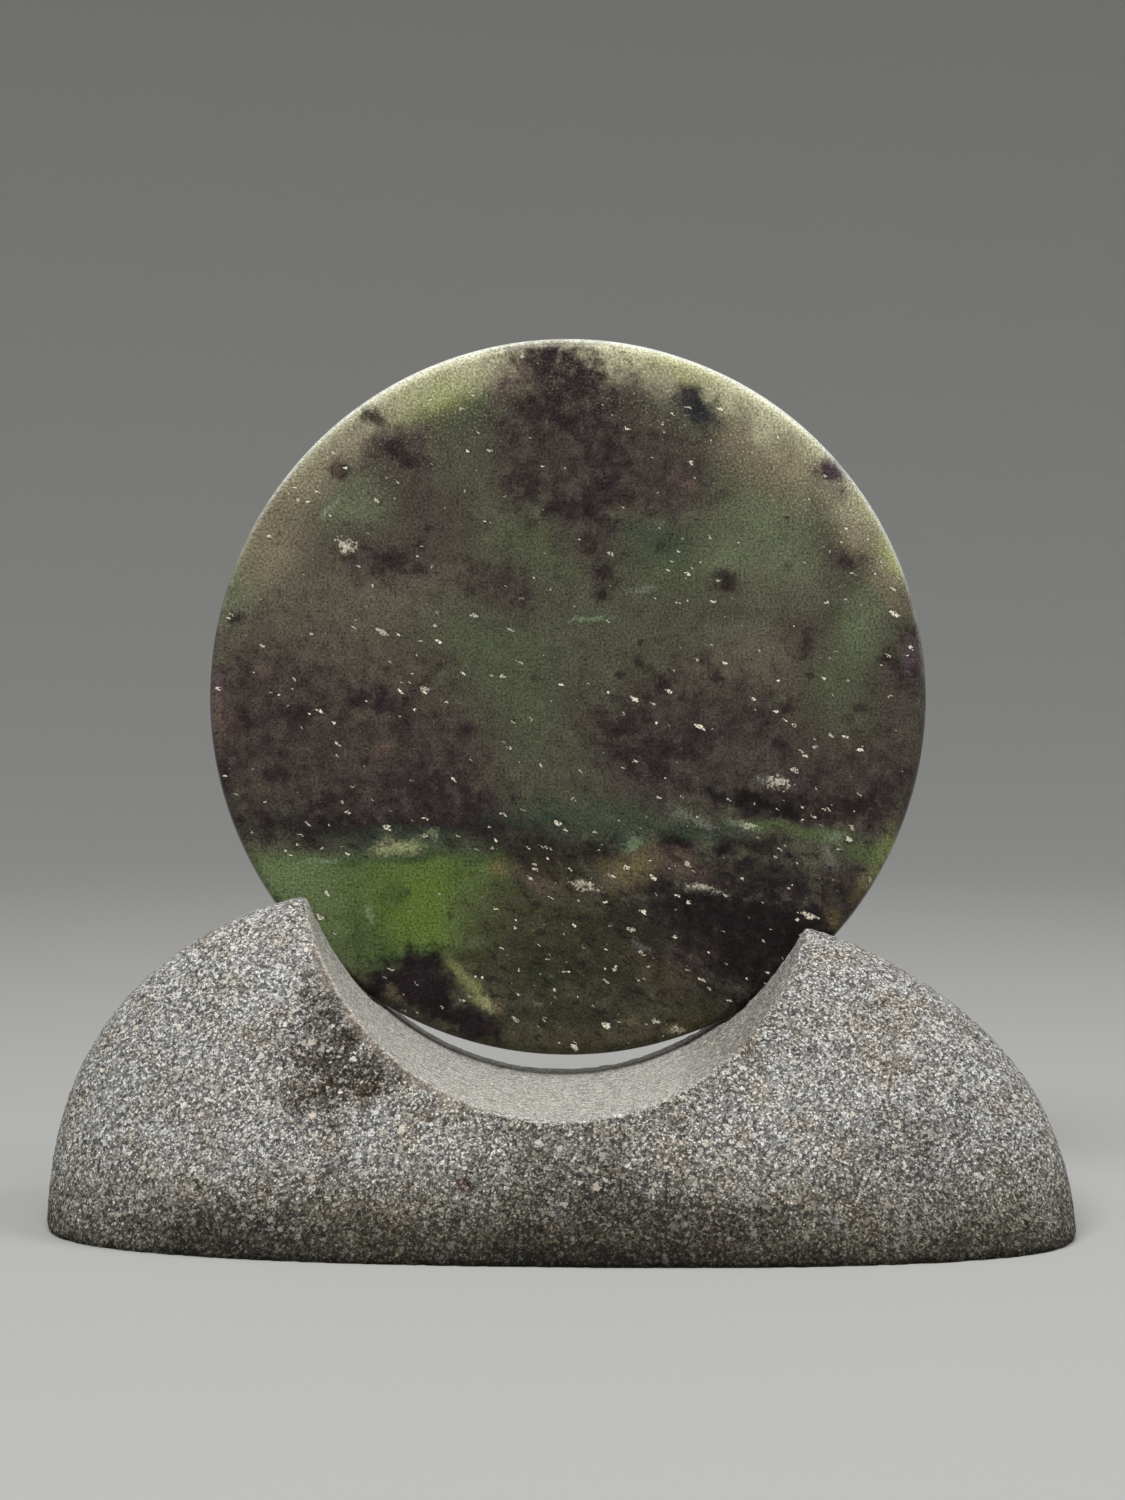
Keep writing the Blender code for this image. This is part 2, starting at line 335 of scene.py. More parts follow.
    ("blot's heart", (50, 36, 48), 0.4, 0.95, 1.4, ((-31.5, -58, 3, 2, -20),)),
    ("streak", (146, 150, 94), 0.65, 0.9, 1.6, (
        (-22.6, -57.6, 3.5, 1.1, -52), (-19.8, -61, 2.2, 1.2, -52),
    )),
    ("yellow brown", (114, 102, 70), 0.85, 0.9, 1.5, (
        (13.4, -35.3, 4.8, 3.0, 15), (-14, -36.5, 2.6, 1.2, -20), (62.6, -41, 2.2, 4.2, -30),
        (55.8, -46.4, 1.6, 1.9, 20),
    )),
    ("pink brown", (104, 87, 78), 0.65, 0.95, 1.8, (
        (-12.5, 67, 4, 3, 30), (23.5, -34.5, 5.0, 2.2, -10), (-63, 6.4, 2, 1.4, 0),
        (24, 44.5, 3, 1.3, -20), (-38, -11, 2, 1.4, 0), (-73, -3, 2, 6, 0), (-6, -38, 4, 1.6, -20),
        (-45, 52, 4, 3, 30),
    )),
    ("grey wisps", (118, 120, 110), 0.6, 0.5, 3.0, (
        (23.5, -23.8, 2.8, 1.0, -36), (27.8, -26.2, 2.6, 0.7, -20), (27, -39.2, 4, 0.8, -12),
        (54.8, -33.0, 0.9, 2.2, 35), (16, 23, 3.0, 0.7, 12), (14.4, -51.8, 2.4, 0.8, -34),
        (40.2, -15.6, 2.2, 1.0, -25),
    )),
    ("mint", (126, 144, 112), 0.6, 0.5, 2.8, (
        (-49, 39.4, 3.4, 0.9, 52), (4, 16.8, 3.6, 0.7, 4), (-27.6, -28, 1.2, 1.1, 0),
        (-52, -33.9, 4.4, 0.6, 5), (36.6, -26.8, 3.6, 0.9, -4), (55.4, -29.0, 1.8, 1.3, 10),
        (-41.4, -45.6, 0.9, 1.7, 20), (13.4, -30.2, 1.7, 1.7, 20),
    )),
    ("butter", (156, 158, 116), 0.85, 0.7, 1.8, (
        (-35.2, -30.4, 4.2, 1.5, 4), (-17.4, -62.8, 1.9, 1.1, -35),
    )),
    ("mottled cream", (112, 100, 76), 0.55, 0.6, 3.0, (
        (-36.5, -62, 1.8, 1.6, -40), (-15.2, -63.4, 2.0, 1.6, -35), (13.2, -66.8, 1.8, 1.3, 0),
        (22.7, -68.2, 1.6, 1.0, 0),
    )),
    ("green rim", (158, 163, 106), 0.85, 0.95, 0.8, (
        (-28, 64.2, 8, 4.2, 25), (68.4, 30, 2.6, 6.5, 24), (64, 39, 2, 5, 30), (24, 68.6, 10, 2.6, -18),
    )),
    ("cream", (194, 187, 166), 0.95, 0.3, 4.0, (
        (43.2, -17.0, 2.2, 1.05, -12), (38.4, -26.8, 1.5, 0.6, 0), (-45.5, 31.8, 1.3, 1.0, -20),
        (22.7, -68.2, 1.0, 0.6, 0), (4, -38, 2.2, 0.7, -14), (28.5, -39.2, 2.2, 0.6, -10),
    )),
)

# Layers with a part to play elsewhere. Deep ones show no pale blotches. Purple ones have more dark spots
# and hide the rim's light. Green ones are plainer, the lime one shows through the rim's light, and the
# frayed ones have a finely torn edge.
DEEP_LAYERS = ("dark below", "black below", "blue black", "charcoal band", "blot")
PURPLE_LAYERS = ("purple brown", "dark purple", "rim purple", *DEEP_LAYERS)
GREEN_LAYERS = ("mid green",)
LIME_LAYERS = ("green rim",)
FRAYED_LAYERS = ("grey wisps", "mint", "butter", "mottled cream", "cream")

# The disc's tones are lifted by this, because the upright face gets less light than the floor.
DISC_GAIN = 1.12
OLIVE_BROWN = (72, 67, 57)
OLIVE_PALE = (86, 85, 69)
BLOTCH_TONE = (38, 29, 32)
BLOTCH_PALE = (98, 88, 80)
SPOT_TONE = (44, 32, 34)
STREAK_PALE = (126, 120, 98)
STREAK_BROWN = (104, 92, 82)
STREAK_DARK = (24, 19, 20)
FLECK_TONE = (246, 236, 212)
FLECK_OUTLINE = (40, 34, 31)
# The next three tones: the rim's painted light, a painted highlight along its rounded edge, and pale specks
# near its top.
GLOW_TONE = (188, 186, 154)
EDGE_HIGHLIGHT_TONE = (206, 208, 200)
RIM_SPECK_TONE = (196, 190, 168)

# The greenstone's gloss: its roughness, how much a fleck adds to it, its reflection and its fine bumps.
DISC_ROUGHNESS = (0.26, 0.36)
FLECK_ROUGHNESS = 0.18
DISC_SPECULAR = 0.16
DISC_BUMP_DEPTH = 0.012
DISC_BUMP_STRENGTH = 0.5

# How far in the rim's painted light, its painted bright line, the painted highlight on its edge and its
# pale specks reach, and between which heights the streaks of the lower part set in, in millimetres.
GLOW_REACH = 12.0
LINE_REACH = 2.8
EDGE_HIGHLIGHT_REACH = 1.6
RIM_SPECK_REACH = 24.0
LOWER_PART = (-16.0, -32.0)

# Sizes of the greenstone's noises and spots, in millimetres, and how far the back's pattern is shifted.
DRIFT_SIZE = 9.0
CROWD_SIZE = 9.0
SPOT_SPACING = 4.4
BLOTCH_SIZE = 3.6
RAGGED_SIZE = 3.0
STREAK_SIZE = 1.9
FRAYED_SIZE = 0.95
GRAIN_SIZE = 0.50
BACK_SHIFT = 61.0

# Each cloud's outline is pushed about by three noises: size, amount and offset, in millimetres. The back
# takes them BACK_DEPTH further on. An ellipse counts up to CLOUD_REACH times its half size away, and the
# higher BLEND_SHARPNESS is, the less neighbouring ellipses melt together.
PUSHES = (
    (14.0, 1.6, (3.0, 1.0, 4.0)),
    (5.5, 1.5, (7.0, 3.0, 1.0)),
    (2.4, 0.6, (1.0, 8.0, 5.0)),
)
BACK_DEPTH = 2.2
CLOUD_REACH = 6.0
BLEND_SHARPNESS = 5.0

# Pale flecks in the greenstone, one row for each size: the cell size in millimetres, the share of cells
# with a fleck, the half width of the largest in millimetres, and a shift that keeps the sizes apart. They
# lie along STREAK_TILT and are FLECK_STRETCH times as long as wide.
FLECKS = ((6.5, 0.30, 0.68, 0.0), (4.0, 0.20, 0.43, 31.0), (2.4, 0.20, 0.27, 57.0))
FLECK_STRETCH = 2.0
STREAK_TILT = math.radians(-27)


def pushed(place, size, amount, offset):
    """A point moved about by smooth noise, in millimetres."""
    return place + amount * noise.noise_vector((place + offset) / size)


def cloud_distance(place, patches):
    """The least scaled distance to several ellipses, blended: 0 at a middle and 1 at an edge."""
    x = place[:, 0, None]
    z = place[:, 1, None]
    middle_x, middle_z, across, up, tilt = np.array(patches, dtype=float).T
    cosine = np.cos(np.radians(tilt))
    sine = np.sin(np.radians(tilt))
    along = ((x - middle_x) * cosine + (z - middle_z) * sine) / across
    beside = ((z - middle_z) * cosine - (x - middle_x) * sine) / up
    away = np.minimum(np.hypot(along, beside), CLOUD_REACH)
    return -np.log(np.exp(-BLEND_SHARPNESS * away).sum(axis=1)) / BLEND_SHARPNESS


def keep_clouds(mesh, centre):
    """Write each cloud layer's distance to the mesh, with its outline pushed about by noise."""
    places = []
    for vertex in mesh.vertices:
        local = (vertex.co - centre) / MM
        flat = Vector((local.x, local.z, BACK_DEPTH if local.y > 0 else 0.0))
        for size, amount, offset in PUSHES:
            flat = pushed(flat, size, amount, Vector(offset))
        places.append(flat[:2])
    places = np.array(places)
    for name, _, _, _, _, patches in CLOUDS:
        attribute = mesh.attributes.new(name, "FLOAT", "POINT")
        attribute.data.foreach_set("value", cloud_distance(places, patches).astype(np.float32))


def greenstone(centre, radius, half):
    """Polished nephrite: soft purple, olive and green clouds, dark blotches and pale flecks."""
    finish = Finish("polished greenstone", "2D")
    from_centre = finish.vector("SUBTRACT", finish.metres, tuple(centre))
    x, y, z = finish.parts(finish.scaled(from_centre, 1 / MM))
    other_face = finish.times(finish.ramp(y, -0.5, 0.5), BACK_SHIFT)
    slid = finish.times_plus(y, 0.6, finish.math("ADD", x, other_face))
    pattern = finish.join(slid, finish.times_plus(y, 0.5, z))
    ragged = finish.centred_cloud(pattern, RAGGED_SIZE, detail=5.0, rough=0.66)
    frayed = finish.centred_cloud(pattern, FRAYED_SIZE, detail=4.0, rough=0.75, offset=(9.0, 21.0, 0.0))
    grain = finish.centred_cloud(pattern, GRAIN_SIZE, detail=1.0, rough=0.8)
    drift = finish.centred_cloud(pattern, DRIFT_SIZE, detail=5.0, rough=0.6, offset=(40.0, 3.0, 0.0))
    browns = (tone(*OLIVE_BROWN, DISC_GAIN), tone(*OLIVE_PALE, DISC_GAIN))
    colour = finish.mix(finish.ramp(drift, -0.16, 0.16), *browns)
    colour, (purple, deep, green, lime) = clouded(finish, colour, ragged, frayed)
    low = finish.times(finish.ramp(z, *LOWER_PART), finish.math("SUBTRACT", 1.0, green))
    colour = mottled(finish, colour, pattern, purple, deep, green, low)
    colour = glowing_rim(finish, colour, x, z, radius / MM, drift, grain, purple, lime)
    level = finish.times_plus(grain, 2.0, 1.0)
    level = finish.times_plus(ragged, 0.50, level)
    level = finish.times_plus(frayed, finish.times_plus(purple, 0.7, 0.4), level)
    colour = finish.mix(1.0, colour, finish.grey(level), "MULTIPLY")
    colour, pale = flecked(finish, colour, pattern, y, half / MM, low, green)
    polish = finish.ramp(ragged, -0.3, 0.3, *DISC_ROUGHNESS)
    roughness = finish.times_plus(pale, FLECK_ROUGHNESS, polish)
    bumps = finish.bump(grain, DISC_BUMP_DEPTH, DISC_BUMP_STRENGTH)
    finish.set(Base_Color=colour, Roughness=roughness, Normal=bumps, Specular_IOR_Level=DISC_SPECULAR)
    return finish.material


def clouded(finish, colour, ragged, frayed):
    """The clouds over one another, and the masks of the purple, deep, green and lime layers."""
    groups = (PURPLE_LAYERS, DEEP_LAYERS, GREEN_LAYERS, LIME_LAYERS)
    masks = [0.0] * len(groups)
    for name, shade, strength, softness, roughened, _ in CLOUDS:
        edge = frayed if name in FRAYED_LAYERS else ragged
        away = finish.times_plus(edge, 1.5 * roughened, finish.attribute(name))
        mask = finish.ramp(away, 1 + softness, 1 - softness, 0.0, strength)
        colour = finish.mix(mask, colour, tone(*shade, DISC_GAIN))
        for i, layers in enumerate(groups):
            if name in layers:
                masks[i] = finish.math("MAXIMUM", masks[i], mask)
    return colour, masks


def mottled(finish, colour, pattern, purple, deep, green, low):
    """Dark blotches, thick in the purple clouds, and pale and dark streaks in the lower part."""
    blotch = finish.centred_cloud(pattern, BLOTCH_SIZE, detail=3.0, rough=0.6, offset=(13.0, 7.0, 0.0))
    wanted = finish.times_plus(purple, 0.60, finish.times_plus(green, -0.14, 0.16))
    dark = finish.times(finish.ramp(blotch, -0.04, 0.22), wanted)
    colour = finish.mix(dark, colour, tone(*BLOTCH_TONE, DISC_GAIN))
    allowed = finish.times_plus(purple, 0.40, 0.08)
    light = finish.times(finish.ramp(blotch, -0.04, -0.20), allowed)
    plainer = finish.times_plus(deep, -0.90, 1.0)
    colour = finish.mix(finish.times(light, plainer), colour, tone(*BLOTCH_PALE, DISC_GAIN))
    spots = finish.cells(finish.warped(pattern, 1.6, 0.9, detail=1.0), SPOT_SPACING)
    chosen, width, depth = finish.channels(spots["Color"])
    reach = finish.times_plus(width, 0.22, 0.10)
    spot = finish.ramp(finish.math("DIVIDE", spots["Distance"], reach), 1.3, 0.3)
    crowd = finish.ramp(chosen, finish.times_plus(purple, -0.35, 0.88), 1.0)
    spot = finish.times(spot, crowd)
    spot = finish.times(spot, finish.times_plus(depth, 0.5, 0.4))
    colour = finish.mix(spot, colour, tone(*SPOT_TONE, DISC_GAIN))
    values = {"Vector": pattern, "Rotation": (0.0, 0.0, STREAK_TILT), "Scale": (2.3, 1.0, 1.0)}
    streaky = finish.add("Mapping", values, vector_type="TEXTURE").outputs[0]
    streak = finish.centred_cloud(streaky, STREAK_SIZE, detail=5.0, rough=0.72, offset=(3.0, 17.0, 0.0))
    allowed = finish.times_plus(low, 0.40, 0.07)
    pale = finish.times(finish.ramp(streak, 0.10, 0.26), allowed)
    tints = (tone(*STREAK_PALE, DISC_GAIN), tone(*STREAK_BROWN, DISC_GAIN))
    tint = finish.mix(finish.ramp(blotch, -0.1, 0.1), *tints)
    colour = finish.mix(finish.times(pale, plainer), colour, tint)
    allowed = finish.times_plus(low, 0.62, 0.06)
    shadow = finish.times(finish.ramp(streak, -0.03, -0.18), allowed)
    return finish.mix(shadow, colour, tone(*STREAK_DARK, DISC_GAIN))


def flecked(finish, colour, pattern, y, half, low, green):
    """Pale mineral flecks, each in a thin dark outline, that lean down to the right."""
    on_face = finish.ramp(finish.math("ABSOLUTE", y), half - 0.9, half - 0.3)
    values = {"Vector": pattern, "Rotation": (0.0, 0.0, STREAK_TILT), "Scale": (FLECK_STRETCH, 1.0, 1.0)}
    turned = finish.add("Mapping", values, vector_type="TEXTURE").outputs[0]
    shaken = finish.warped(turned, 0.8, 0.62, detail=3.0, offset=(5.0, 2.0, 0.0))
    crowded = finish.cloud(pattern, CROWD_SIZE, detail=1.0, offset=(2.0, 9.0, 0.0))
    crowded = finish.ramp(crowded, 0.35, 0.62, -0.16, 0.12)
    extra = finish.times_plus(low, 0.12, finish.times_plus(green, -0.24, crowded))
    total = 0.0
    outline = 0.0
    for size, share, widest, shift in FLECKS:
        cell = finish.cells(finish.vector("ADD", shaken, (shift, shift, 0.0)), size)
        picked, width, bright = finish.channels(cell["Color"])
        limit = finish.math("SUBTRACT", 1.0 - share, extra)
        chosen = finish.ramp(finish.math("SUBTRACT", picked, limit), 0.0, 0.01)
        spread = finish.times(width, width)
        half_width = finish.times_plus(spread, 0.62 * widest / size, 0.38 * widest / size)
        away = finish.math("DIVIDE", cell["Distance"], half_width)
        mark = finish.times(finish.ramp(away, 1.12, 0.80), chosen)
        brilliance = finish.times_plus(finish.times(bright, bright), 0.8, 0.5)
        mark = finish.times(mark, brilliance, clamp=True)
        total = finish.math("MAXIMUM", total, mark)
        ring = finish.times(finish.ramp(away, 2.1, 1.1), chosen)
        outline = finish.math("MAXIMUM", outline, ring)
    broken = finish.ramp(finish.cloud(pattern, 0.45, detail=1.0), 0.36, 0.50, 0.10, 1.0)
    pale = finish.times(finish.times(total, broken), on_face)
    ring = finish.times(finish.times(outline, on_face), 0.35)
    colour = finish.mix(ring, colour, tone(*FLECK_OUTLINE, DISC_GAIN))
    return finish.mix(pale, colour, tone(*FLECK_TONE, DISC_GAIN)), pale


def glowing_rim(finish, colour, x, z, radius, drift, grain, purple, lime):
    """Painted light that the thin rim lets through, most along the top, a painted highlight along its
    rounded edge where it faces up, and fine pale specks near the top.
    """
    inward = finish.math("SUBTRACT", radius, finish.length(finish.join(x, z)))
    upward = finish.times_plus(z, 1.0 / radius, finish.times(x, 0.13 / radius))
    # Painted light: strongest where the rim faces up towards the lamps.
    lit = finish.ramp(upward, 0.36, 0.90)
    reach = finish.times_plus(drift, -GLOW_REACH, finish.times_plus(grain, 3.0, inward))
    wide = finish.math("POWER", finish.ramp(reach, GLOW_REACH, 0.5), 1.2)
    shown = finish.times_plus(purple, -1.30, 0.93)
    shown = finish.times_plus(lime, -0.50, shown, clamp=True)
    wide = finish.times(wide, shown)
    # A painted bright line just inside the rim.
    thin = finish.times_plus(purple, -0.7, 0.82)
    thin = finish.times(finish.ramp(inward, LINE_REACH, 0.6), thin)
    share = finish.times(finish.math("MAXIMUM", wide, thin), lit, clamp=True)
    colour = finish.mix(share, colour, tone(*GLOW_TONE, DISC_GAIN))
    # Painted highlight on the rounded edge, where it faces up.
    edge = finish.times(finish.ramp(inward, EDGE_HIGHLIGHT_REACH, 0.3), finish.ramp(upward, 0.05, 0.7, 0.0, 0.82))
    edge = finish.times(edge, finish.times_plus(purple, -0.5, 1.0))
    colour = finish.mix(edge, colour, tone(*EDGE_HIGHLIGHT_TONE, DISC_GAIN))
    # Pale specks, thickest near the top of the rim.
    speck_share = finish.ramp(upward, 0.25, 0.8, 0.0, 0.42)
    speck_share = finish.times(finish.ramp(inward, RIM_SPECK_REACH, 4.0), speck_share)
    speck_share = finish.times(speck_share, finish.math("SUBTRACT", 1.0, purple))
    specks = finish.times(finish.ramp(grain, 0.14, 0.30), speck_share)
    return finish.mix(specks, colour, tone(*RIM_SPECK_TONE, DISC_GAIN))


# The grey stone's tones, as a screen shows them.
WORN_DARK = (127, 124, 116)
WORN_PALE = (177, 174, 165)
GLINT_TONE = (196, 194, 186)
CRYSTAL_WHITE = (214, 214, 208)
CRYSTAL_CREAM = (206, 197, 180)
CRYSTAL_SHADOW_OUTLINE = (46, 42, 38)
WARM_TONE = (206, 189, 164)
WARM_GAIN = 1.25
SCOOP_DARK = (124, 121, 113)
SCOOP_PALE = (215, 212, 204)
SCOOP_EDGE = (98, 74, 50)

# Sizes of the stone's noises and grains, in millimetres.
BROAD_SIZE = 24.0
WARM_SIZE = 8.0
MEDIUM_SIZE = 4.5
SPECK_SIZE = 0.60
COARSE_GRAIN = 0.95
FINE_GRAIN = 0.40

# How dark and how light each kind of grain may be, as factors.
FINE_RANGE = (0.24, 2.6)
COARSE_RANGE = (1.05, 1.47)
SCOOP_RANGE = (0.80, 1.34)

# The crystals among the grains, one row for each size: their spacing in millimetres, the share of places
# without one, the least half width and what it grows by as shares of the spacing, and how dark their
# outline of painted shadow is. Their grid is turned by CRYSTAL_TURN, so that it lies along none of the
# stand's faces.
CRYSTAL_TURN = (0.6, 0.9, 0.4)
CRYSTALS = ((1.5, 0.45, 0.15, 0.18, 0.30), (2.6, 0.28, 0.12, 0.17, 0.48))

# The stone is matt, with bumps as deep as its grains.
STONE_ROUGHNESS = 0.88
STONE_SPECULAR = 0.3
STONE_BUMP_DEPTH = 0.8
STONE_BUMP_STRENGTH = 1.0

# No grain is paler than this linear colour.
PALEST_STONE = (0.88, 0.87, 0.84)

# Grime and painted shade on the foot: how high the darkening reaches, where across it lies thickest and how
# deep the painted shade under the scoop reaches, then from where to where the shoulders grow paler with
# painted light, in millimetres, and the light that the grime and painted shade leave below and above. Right
# of GRANULAR_SIDE the scoop isn't rubbed smooth.
GRIME_AND_SHADE_TOP = 36.0
GRIME_AND_SHADE_MIDDLE = 14.0
PAINTED_SHADE_UNDER_SCOOP = 9.0
PAINTED_LIGHT_SHOULDERS = (42.0, 62.0)
GRANULAR_SIDE = (20.0, 36.0)
GRIME_AND_SHADE_RANGE = (0.04, 1.62)

# Marks on the stand, in millimetres: the middle's x, y and z, then the half sizes along them. The brown
# stain's parts overlap; each other mark also has its tone and strength.
STAIN_TONE = (62, 51, 32)
STAIN_SOFTNESS = 0.6
COARSE_STAIN = (
    (-44, -9, 38, 9, 14, 12), (-38, -11, 33, 9, 10, 7), (-46, -15, 28, 6, 9, 5), (-47, -4, 46, 4, 8, 6),
)
STAIN_HEART = ((-43, -11, 35, 5, 12, 7), (-39, -13, 31, 4, 10, 4))
STONE_MARKS = (
    ((-17.5, -26, 13.5, 1.5, 3, 1.2), (92, 58, 36), 0.75),
    ((-24.8, -18.7, 24.9, 1.3, 3, 0.7), (120, 88, 60), 0.5),
    ((62.0, -25, 10.5, 1.2, 4, 1.2), (186, 172, 150), 0.5),
    ((65.0, -24, 13.5, 0.9, 4, 1.4), (186, 172, 150), 0.45),
    ((88.7, -22.7, 5.4, 0.35, 3, 1.6), (30, 26, 22), 0.9),
    ((2, -27, 14, 15, 8, 7), (48, 45, 40), 0.35),
    ((9, -27, 12, 8, 6, 5), (50, 42, 34), 0.4),
    ((28, -29, 7, 12, 6, 5), (48, 36, 26), 0.6),
    ((70, -18, 17, 17, 14, 9), (84, 81, 75), 0.40),
    ((-57, -22, 4, 20, 10, 5.5), (50, 44, 36), 0.66),
    ((64, -6, 40, 12, 9, 11), (176, 162, 140), 0.14),
    ((-63, -12, 28, 10, 9, 10), (168, 152, 130), 0.16),
    ((-50, 8, 52, 9, 9, 4), (176, 162, 142), 0.15),
)


def stain(finish, place, x, y, z, across, deep, up, jitter):
    """The mask of one mark: an ellipsoid with a soft, uneven edge."""
    values = {"Vector": place, "Location": (x, y, z), "Scale": (across, deep, up)}
    placed = finish.add("Mapping", values, vector_type="TEXTURE").outputs[0]
    away = finish.math("ADD", finish.length(placed), jitter)
    return finish.ramp(away, 1 + STAIN_SOFTNESS, 1 - STAIN_SOFTNESS)


def grey_stone():
    """Hewn granular stone: salt and pepper grains, brown stains, a foot darkened by grime and painted
    shade, shoulders paler from painted light, and a rubbed scoop.
    """
    finish = Finish("hewn grey stone")
    place = finish.scaled(finish.metres, 1 / MM)
    broad = finish.centred_cloud(place, BROAD_SIZE, detail=3.0)
    medium = finish.centred_cloud(place, MEDIUM_SIZE, detail=4.0, rough=0.65)
    speck = finish.centred_cloud(place, SPECK_SIZE, detail=3.0, rough=0.80)

    wear = finish.times_plus(medium, 0.14, speck)
    colour = finish.mix(finish.ramp(wear, -0.26, 0.26), tone(*WORN_DARK), tone(*WORN_PALE))
    depth = scoop_depth(finish, place)
    # level carries the grime and painted shade of the foot and the painted light of the shoulders.
    colour, level = grime_and_painted_shade(finish, colour, place, depth, broad, medium, speck)
    shaken = finish.warped(place, 0.8, 0.40, detail=1.0, offset=(4.0, 4.0, 1.0))
    turned = finish.add("Mapping", {"Vector": shaken, "Rotation": CRYSTAL_TURN}).outputs[0]
    fine = finish.cells(turned, FINE_GRAIN, "MANHATTAN")
    colour = crystals(finish, colour, turned, fine, speck, level)
    rubbed, rubbed_colour = rubbed_scoop(finish, place, depth, medium, speck, fine)
    colour = finish.mix(rubbed, colour, rubbed_colour)
    colour = finish.vector("MINIMUM", colour, PALEST_STONE)

    bumps = finish.times(speck, finish.times_plus(rubbed, -0.75, 1.0))
    bumps = finish.bump(bumps, STONE_BUMP_DEPTH, STONE_BUMP_STRENGTH)
    finish.set(Base_Color=colour, Roughness=STONE_ROUGHNESS, Normal=bumps)
    finish.set(Specular_IOR_Level=STONE_SPECULAR)
    return finish.material


def grains(finish, cells, least, most):
    """How light each grain is, darker in the gaps between them."""
    kind = finish.channels(cells["Color"])[0]
    level = finish.times(finish.math("POWER", most / least, kind), least)
    gap = finish.ramp(cells["Distance"], 0.95, 0.35, 0.55, 1.12)
    return finish.grey(finish.times(level, gap))


def crystals(finish, colour, turned, fine, speck, level):
    """Angular crystals in thin dark outlines of painted shadow, in a mass of fine pale and dark grains."""
    colour = finish.mix(1.0, colour, grains(finish, fine, *FINE_RANGE), "MULTIPLY")
    coarse = finish.cells(finish.vector("ADD", turned, (9.0, 5.0, 2.0)), COARSE_GRAIN, "MANHATTAN")
    colour = finish.mix(1.0, colour, grains(finish, coarse, *COARSE_RANGE), "MULTIPLY")
    # Glints and crystals are dimmed by the grime and painted shade and lifted by the shoulders' painted
    # light.
    clean_and_lit = finish.times_plus(level, 0.80, 0.16, clamp=True)
    chipped = finish.times_plus(finish.channels(fine["Color"])[2], 0.9, -0.45)
    glint = finish.ramp(finish.channels(fine["Color"])[1], 0.90, 0.94, 0.0, 0.5)
    colour = finish.mix(finish.times(glint, clean_and_lit), colour, tone(*GLINT_TONE))
    for spacing, missing, narrowest, spread, shadow in CRYSTALS:
        large = finish.cells(turned, spacing)
        size, chosen, hue = finish.channels(large["Color"])
        width = finish.times_plus(finish.times(size, size), spread, narrowest)
        away = finish.times_plus(speck, 0.9, finish.math("DIVIDE", large["Distance"], width))
        away = finish.math("ADD", away, chipped)
        present = finish.ramp(chosen, missing, missing + 0.04)
        # Painted shadow: a thin dark outline round each crystal.
        outline = finish.times(finish.ramp(away, 1.6, 1.1), present)
        colour = finish.mix(finish.times(outline, shadow), colour, tone(*CRYSTAL_SHADOW_OUTLINE))
        crystal = finish.times(finish.ramp(away, 1.08, 0.94), present)
        pale = finish.mix(finish.ramp(hue, 0.3, 0.7), tone(*CRYSTAL_WHITE), tone(*CRYSTAL_CREAM))
        # Crystals follow the same painted shade and light as the stone around them.
        lift = finish.times_plus(speck, 0.7, finish.times_plus(level, 0.40, 0.70))
        pale = finish.mix(1.0, pale, finish.grey(lift), "MULTIPLY")
        brilliance = finish.times_plus(finish.times(chosen, chosen), 0.76, 0.20)
        share = finish.times(finish.times(crystal, brilliance), clean_and_lit)
        colour = finish.mix(share, colour, pale)
    return colour


def scoop_depth(finish, place):
    """How far into the stone a point lies, measured outward from the scoop's wall."""
    x, _, z = finish.parts(place)
    across = finish.math("SUBTRACT", x, SCOOP_CENTRE[0])
    down = finish.math("SUBTRACT", z, SCOOP_CENTRE[1])
    return finish.math("SUBTRACT", finish.length(finish.join(across, down)), SCOOP_RADIUS)


